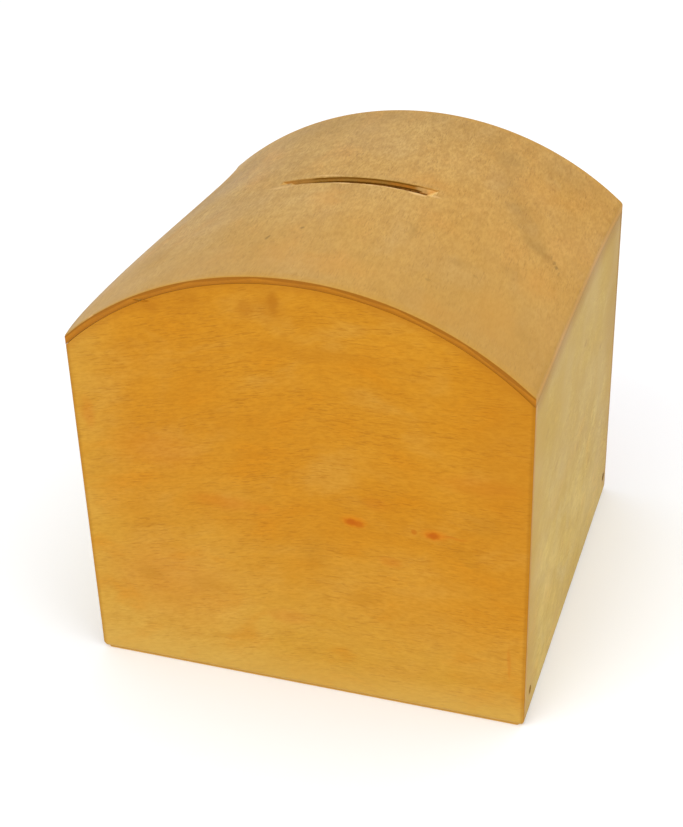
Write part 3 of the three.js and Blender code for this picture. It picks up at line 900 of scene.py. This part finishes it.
def slot_fibres():
    """Torn fibres that hang from the bent sheet's underside along the slot's far wall."""
    rand = random.Random(11)
    bm = bmesh.new()
    middle, _, through, _ = FAR_PASS
    for _ in range(SLOT_FIBRES):
        x = middle + rand.uniform(-0.5, 0.5) * through
        length = rand.uniform(0.8, 3.0) * MM
        drop_by = rand.uniform(0.25, 0.95) * MM
        thick = rand.uniform(0.1, 0.22) * MM
        y = slot_line(FAR_PASS, x, BLADE_KERF / 2 + rand.uniform(-0.2, 0.15) * MM)
        lean = rand.uniform(-0.3, 0.3) * MM
        rings = []
        for share in (-0.5, -0.15, 0.25, 0.5):
            at_x = x + share * length
            under = ARCH_CENTRE + math.sqrt((ARCH_RADIUS - SHEET) ** 2 - at_x**2)
            sag = drop_by * (1 - abs(2 * share) ** 1.5)
            corners = ((thick, 0.15 * MM), (-thick, 0.15 * MM), (-thick, -sag), (thick, -sag))
            rings.append([bm.verts.new((at_x + share * lean, y + dy / 2, under + dz)) for dy, dz in corners])
        for near, far in zip(rings, rings[1:]):
            join_rings(bm, near, far)
        bm.faces.new(rings[0])
        bm.faces.new(rings[-1])
    return new_object("slot_fibres", bm)


def chip(name, centre, radii, seed):
    """A small ragged lump that is cut out of an edge."""
    bm = bmesh.new()
    bmesh.ops.create_icosphere(bm, subdivisions=3, radius=1)
    for vertex in bm.verts:
        swell = 1 + 0.35 * noise.noise(vertex.co * 1.6 + Vector((seed, 0, 0)))
        vertex.co = Vector(centre) + Vector(vertex.co[i] * radii[i] * swell for i in range(3))
    return new_object(name, bm)


def sheet_edge(x, depth):
    """A point on the front edge of the bent sheet, this deep below its top surface."""
    radius = ARCH_RADIUS - depth
    return x, -HALF_DEPTH, ARCH_CENTRE + math.sqrt(radius**2 - x**2)


def joint_chip():
    """The chip at the left of the front joint, which takes a little of both the sheet and the panel."""
    return chip("chip_joint", sheet_edge(-47 * MM, SHEET), (2.6 * MM, 0.5 * MM, 0.45 * MM), 2)


def bent_top():
    """The bent sheet, rounded at its arrises, slotted and a little chipped."""
    outer = roomy_ends(arch(ARCH_RADIUS, -HALF_WIDTH, HALF_WIDTH, ARCH_STEPS))
    inner = roomy_ends(arch(ARCH_RADIUS - SHEET, HALF_WIDTH, -HALF_WIDTH, ARCH_STEPS))
    stations = spread(-HALF_DEPTH, HALF_DEPTH, LENGTH_STEPS)
    top = prism("bent_top_sheet", outer + inner, stations, outer_rounding)
    round_edges(top)
    cut(top, saw_cut(FAR_PASS, (0.2, 1)), saw_cut(NEAR_PASS, (1, 0.2)))
    cut(
        top,
        chip("chip_arris", sheet_edge(-64 * MM, 0), (1.1 * MM, 0.35 * MM, 0.3 * MM), 1),
        joint_chip(),
        chip("chip_right", sheet_edge(58 * MM, 0), (0.8 * MM, 0.3 * MM, 0.25 * MM), 3),
    )
    depth = top.data.attributes.new("ply_depth", "FLOAT", "POINT")
    for vertex, value in zip(top.data.vertices, depth.data):
        radius = math.hypot(vertex.co.x, vertex.co.z - ARCH_CENTRE)
        value.value = (ARCH_RADIUS - radius) / SHEET
    ramp = top.data.attributes.new("slot_ramp", "FLOAT", "FACE")
    for face, value in zip(top.data.polygons, ramp.data):
        value.value = 1.0 if face.normal.z > 0.5 else 0.0
    bow(top)
    smooth(top)
    return top


def end_panel(name, side):
    """Front (-1) or back (+1) panel, under the end of the bent sheet."""
    top = roomy_ends(arch(ARCH_RADIUS - SHEET - JOINT_GAP, HALF_WIDTH, -HALF_WIDTH, ARCH_STEPS))
    outline = [(-HALF_WIDTH, 0), (HALF_WIDTH, 0)] + top
    panel = prism(name, outline, sorted((side * PANEL_INNER, side * HALF_DEPTH)), outer_rounding)
    round_edges(panel)
    if side < 0:
        cut(panel, joint_chip())
    smooth(panel)
    return panel


def side_board(name, side):
    """A side board, its top planed to the underside of the bent sheet, bored for its pins."""
    levels = spread(0, EAVES - 5 * MM, 14)
    top = arch(ARCH_RADIUS - SHEET - JOINT_GAP, HALF_WIDTH, SIDE_INNER, 8)
    outline = [(HALF_WIDTH, z) for z in levels] + top + [(SIDE_INNER, z) for z in reversed(levels)]
    outline = [(side * x, z) for x, z in outline]
    reach = PANEL_INNER - JOINT_GAP
    board = prism(name, outline, spread(-reach, reach, LENGTH_STEPS), outer_rounding)
    round_edges(board)
    cut(board, *(pin_bore(node) for node in pin_nodes(side)))
    bow(board)
    smooth(board)
    return board


def base_board(name):
    """The base, with the stopper's hole and the pins' bores."""
    low, high = BASE_LOW, BASE_HIGH
    outline = [(low.x, low.z), (high.x, low.z), (high.x, high.z), (low.x, high.z)]
    board = prism(name, outline, [low.y, high.y])
    thick = high.z - low.z
    soft = 0.6 * MM
    lip = [(HOLE_RADIUS + soft, -soft), (HOLE_RADIUS + soft, 0), (HOLE_RADIUS, soft)]
    profile = [(0, -soft)] + lip + [(r, thick - h) for r, h in reversed(lip)] + [(0, thick + soft)]
    hole = lathe("hole", profile, ROUND_STEPS, Matrix.Translation((0, 0, low.z)))
    cut(board, hole, *(pin_bore(node) for side in (-1, 1) for node in pin_nodes(side)))
    smooth(board)
    return board


def stopper_piece(name):
    """The push-in stopper: a soft-edged flange and a hollow, ribbed neck."""
    flange = (STOPPER_HIGH.x - STOPPER_LOW.x) / 2
    tall = STOPPER_HIGH.z - STOPPER_LOW.z
    under_base = BASE_LOW.z - STOPPER_LOW.z
    thick = 2 * MM
    neck, tip, wall = HOLE_RADIUS - 0.3 * MM, 14 * MM, 2.2 * MM
    soft = 0.6 * MM
    rise = tall - soft
    profile = [(0, 0.5 * MM), (0.55 * flange, 0.45 * MM), (0.8 * flange, 0.1 * MM), (flange - soft, 0)]
    profile += [(flange - soft * (1 - math.sin(a)), soft * (1 - math.cos(a))) for a in spread(0.3, math.pi / 2, 4)]
    profile += [(flange, thick - 0.3 * MM), (flange - 0.3 * MM, thick), (neck, thick)]
    ribs = 3
    for rib in range(ribs):
        share = (rib + 0.5) / ribs
        z = under_base + (rise - under_base) * share
        radius = neck + (tip - neck) * share
        profile += [(radius - 0.25 * MM, z - 1.2 * MM), (radius, z), (radius - 0.25 * MM, z + 0.6 * MM)]
    profile += [(tip, rise), (tip - soft * 0.4, tall - soft * 0.2), (tip - soft, tall)]
    profile += [(tip - wall, tall), (tip - wall, 2 * thick + soft), (tip - wall - soft, 2 * thick), (0, 2 * thick)]
    stopper = lathe(name, profile, ROUND_STEPS, Matrix.Translation((0, 0, STOPPER_LOW.z)))
    smooth(stopper, 50)
    return stopper


def pin_piece(name, node):
    pin = lathe(name, pin_profile(), 40, pin_turn(node))
    smooth(pin, 50)
    return pin


amber_front = panel_material("amber_front_plywood", 0, -1, front_marks)
amber_back = panel_material("amber_back_plywood", 130, 1, back_marks)
pin_steel = pin_material()

place(bent_top(), "curved_top", "box", "top_ply", top_material())
place(slot_fibres(), "curved_top", "box", "top_ply", fibre_material())
place(end_panel("front_ply_panel", -1), "front_panel", "box", "front_ply", amber_front)
place(end_panel("back_ply_panel", 1), "back_panel", "box", "front_ply", amber_back)
for side_name, side in (("left", -1), ("right", 1)):
    wood = side_material(f"pale_{side_name}_wood", side, 200 + 40 * side)
    place(side_board(f"{side_name}_board", side), f"{side_name}_side_board", "box", "side_wood", wood)
    for node in pin_nodes(side):
        place(pin_piece(node.replace("base_pin", "nail"), node), node, "box", "pin_steel", pin_steel)
place(base_board("base_plate"), "base_board", "box", "base_wood", base_material())
place(stopper_piece("push_in_stopper"), "rubber_stopper", "stopper", "stopper_rubber", rubber_material())

# ------------------------------------------------------------------ stage, light and camera


def make_floor():
    bm = bmesh.new()
    bmesh.ops.create_grid(bm, x_segments=8, y_segments=8, size=4)
    floor = new_object("floor", bm)
    floor.data.materials.append(floor_material())


def area_light(name, place_at, aim_at, size, power):
    """A large soft lamp."""
    light = bpy.data.lights.new(name, "AREA")
    light.shape = "SQUARE"
    light.size = size
    light.energy = power
    lamp = bpy.data.objects.new(name, light)
    lamp.location = place_at
    lamp.rotation_euler = (Vector(aim_at) - Vector(place_at)).to_track_quat("-Z", "Y").to_euler()
    bpy.context.scene.collection.objects.link(lamp)


def make_world(strength):
    world = bpy.data.worlds.new("studio")
    world.use_nodes = True
    background = world.node_tree.nodes["Background"]
    background.inputs["Color"].default_value = (1, 1, 1, 1)
    background.inputs["Strength"].default_value = strength
    bpy.context.scene.world = world


def make_camera():
    """A camera at the photo's viewing angle."""
    azimuth, elevation, roll = (math.radians(angle) for angle in (19.12, 30.09, -1.83))
    distance = 566.8 * MM
    aim = Vector((-9.9 * MM, 0, 63.1 * MM))
    back = Vector((
        math.sin(azimuth) * math.cos(elevation),
        -math.cos(azimuth) * math.cos(elevation),
        math.sin(elevation),
    ))
    data = bpy.data.cameras.new("camera")
    data.sensor_width = 36
    data.lens = 68.8
    data.clip_start = 0.01
    camera = bpy.data.objects.new("camera", data)
    turn = (-back).to_track_quat("-Z", "Y").to_matrix().to_4x4() @ Matrix.Rotation(roll, 4, "Z")
    camera.matrix_world = Matrix.Translation(aim + back * distance) @ turn
    bpy.context.scene.collection.objects.link(camera)
    bpy.context.scene.camera = camera


make_floor()
make_world(0.8)
middle = (0, 0, CROWN / 2)
area_light("key", (-0.7, -1.4, 1.5), middle, 1.4, 14)
area_light("fill", (1.6, -0.6, 0.9), middle, 1.4, 9)
area_light("top", (0.3, 0.2, 1.9), middle, 1.6, 8)
make_camera()
bpy.context.scene.view_settings.view_transform = "Standard"
